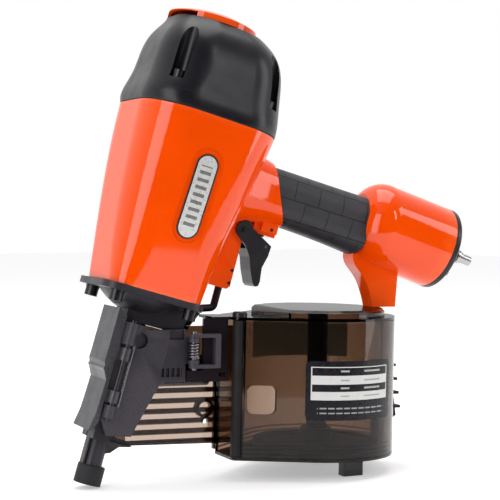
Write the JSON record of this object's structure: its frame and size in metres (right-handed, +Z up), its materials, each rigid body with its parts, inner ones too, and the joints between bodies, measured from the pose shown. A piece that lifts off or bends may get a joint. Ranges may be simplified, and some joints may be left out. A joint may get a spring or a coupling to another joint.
{
  "type": "pneumatic coil nailer",
  "caption": "Air-powered coil nailer: orange cast head and handle, black cap, ribbed nail guide, hinged side door and latch, smoked round magazine on two feet.",
  "frame": {"origin": "centre of the tool's length and width, on the plane it stands on", "axes": "+Z up with the tool standing on its contact tip and magazine feet, +X from the nose towards the air inlet, -Y the operator's left side with the side door"},
  "size_m": [0.345, 0.1226, 0.3606],
  "materials": {
    "paint": "gloss orange coat on cast magnesium",
    "cap_plastic": "satin black",
    "grip_rubber": "embossed soft grip",
    "rubber": "black rubber",
    "black_steel": "blackened steel",
    "bright_steel": "brushed",
    "zinc_steel": "zinc plated",
    "aluminium": "machined",
    "brass": "turned",
    "smoked_plastic": "smoked brown clear plastic",
    "grey_plastic": "satin grey",
    "label": "printed film"
  },
  "bodies": {
    "housing": {"body_housing": "paint", "grip_sleeve": "grip_rubber", "cylinder_cap": "cap_plastic", "cap_gasket": "rubber", "cap_bolts": "black_steel", "deflector_screw": "black_steel", "cylinder_sleeve": "aluminium", "sleeve_seals": "rubber", "head_valve_spring": "bright_steel", "piston_bumper": "rubber", "end_cap_gasket": "rubber", "end_cap": "cap_plastic", "end_cap_screws": "black_steel", "air_plug": "bright_steel", "trigger_pins": "bright_steel", "trigger_valve_body": "grey_plastic", "roll_pins": "bright_steel", "nose_casting": "black_steel", "nose_bolts": "black_steel", "nose_spring_washers": "black_steel", "contact_spring": "bright_steel", "badge": "label", "feed_guide": "smoked_plastic", "feeder_cylinder": "black_steel", "feeder_cylinder_cap": "black_steel", "feed_spring": "bright_steel", "magazine_body": "smoked_plastic", "cover_hinge_pin": "bright_steel", "nail_platform_post": "grey_plastic", "magazine_feet": "cap_plastic", "rear_bumper": "rubber", "arm_bolts": "black_steel", "door_hinge_bracket": "black_steel", "door_hinge_pin": "bright_steel", "door_hinge_spring": "bright_steel"},
    "deflector": {"exhaust_deflector": "cap_plastic"},
    "head_valve": {"head_valve": "grey_plastic"},
    "piston": {"piston": "aluminium", "piston_ring": "rubber", "driver_blade": "bright_steel"},
    "trigger": {"trigger": "cap_plastic", "safety_lever_pin": "bright_steel"},
    "safety_lever": {"safety_lever": "bright_steel"},
    "trigger_plunger": {"trigger_valve_plunger": "brass"},
    "contact": {"contact_arm": "black_steel", "tip_cap": "rubber"},
    "door": {"side_door": "black_steel", "latch_pin": "bright_steel", "latch_spring": "bright_steel", "check_pawl_pin": "bright_steel"},
    "latch": {"latch_lever": "bright_steel"},
    "check_pawl": {"check_pawl": "bright_steel"},
    "feeder": {"feed_piston": "bright_steel", "pawl_carrier": "bright_steel", "feed_pawl_pin": "bright_steel"},
    "feed_pawl": {"feed_pawl": "bright_steel"},
    "cover": {"magazine_cover": "smoked_plastic", "cover_hinge_barrel": "grey_plastic", "rating_plate": "label"},
    "platform": {"nail_platform": "grey_plastic"}
  },
  "joints": [
    {"name": "deflector_turn", "type": "hinge", "parent": "housing", "child": "deflector", "pos_m": [-0.0615, 0, 0.34845], "axis": [0.2807, 0, 0.9598], "continuous": true},
    {"name": "head_valve_lift", "type": "slide", "parent": "housing", "child": "head_valve", "axis": [0.2807, 0, 0.9598], "range_m": [0, 0.005], "stiffness_N_per_m": 2000},
    {"name": "piston_stroke", "type": "slide", "parent": "housing", "child": "piston", "axis": [-0.2807, 0, -0.9598], "range_m": [0, 0.1174]},
    {"name": "trigger_pull", "type": "hinge", "parent": "housing", "child": "trigger", "pos_m": [-0.03784, 0, 0.19098], "axis": [0, -1, 0], "range_deg": [0, 12], "stiffness_Nm_per_rad": 0.6},
    {"name": "safety_lever_tilt", "type": "hinge", "parent": "trigger", "child": "safety_lever", "pos_m": [-0.01981, 0, 0.17748], "axis": [0, 1, 0], "range_deg": [0, 16.5]},
    {"name": "trigger_plunger_press", "type": "slide", "parent": "housing", "child": "trigger_plunger", "axis": [0.2807, 0, 0.9598], "range_m": [0, 0.0015]},
    {"name": "contact_press", "type": "slide", "parent": "housing", "child": "contact", "axis": [0.2807, 0, 0.9598], "range_m": [0, 0.01], "stiffness_N_per_m": 1500, "springref_m": -0.02},
    {"name": "door_swing", "type": "hinge", "parent": "housing", "child": "door", "pos_m": [-0.08429, -0.02, 0.10117], "axis": [0.0227, 0, 0.9997], "range_deg": [0, 90], "stiffness_Nm_per_rad": 0.02},
    {"name": "latch_swing", "type": "hinge", "parent": "door", "child": "latch", "pos_m": [-0.14208, -0.0208, 0.0907], "axis": [0.2807, 0, 0.9598], "range_deg": [0, 95]},
    {"name": "check_pawl_swing", "type": "hinge", "parent": "door", "child": "check_pawl", "pos_m": [-0.11003, -0.009, 0.09075], "axis": [0.0227, 0, 0.9997], "range_deg": [0, 18], "stiffness_Nm_per_rad": 0.01},
    {"name": "feed_stroke", "type": "slide", "parent": "housing", "child": "feeder", "axis": [0.9997, 0, -0.0227], "range_m": [0, 0.009], "stiffness_N_per_m": 800},
    {"name": "feed_pawl_swing", "type": "hinge", "parent": "feeder", "child": "feed_pawl", "pos_m": [-0.11323, 0.0105, 0.08182], "axis": [-0.0227, 0, -0.9997], "range_deg": [0, 18], "stiffness_Nm_per_rad": 0.01},
    {"name": "cover_swing", "type": "hinge", "parent": "housing", "child": "cover", "pos_m": [-0.04948, -0.0235, 0.07037], "axis": [-0.0227, 0, -0.9997], "range_deg": [0, 75]},
    {"name": "platform_height", "type": "slide", "parent": "housing", "child": "platform", "axis": [0.0227, 0, 0.9997], "range_m": [0, 0.038]}
  ],
  "couplings": [
    {"joint": "safety_lever_tilt", "follows": "contact_press", "rad_per_m": 28.798},
    {"joint": "trigger_plunger_press", "follows": "trigger_pull", "m_per_rad": 0.007162}
  ]
}
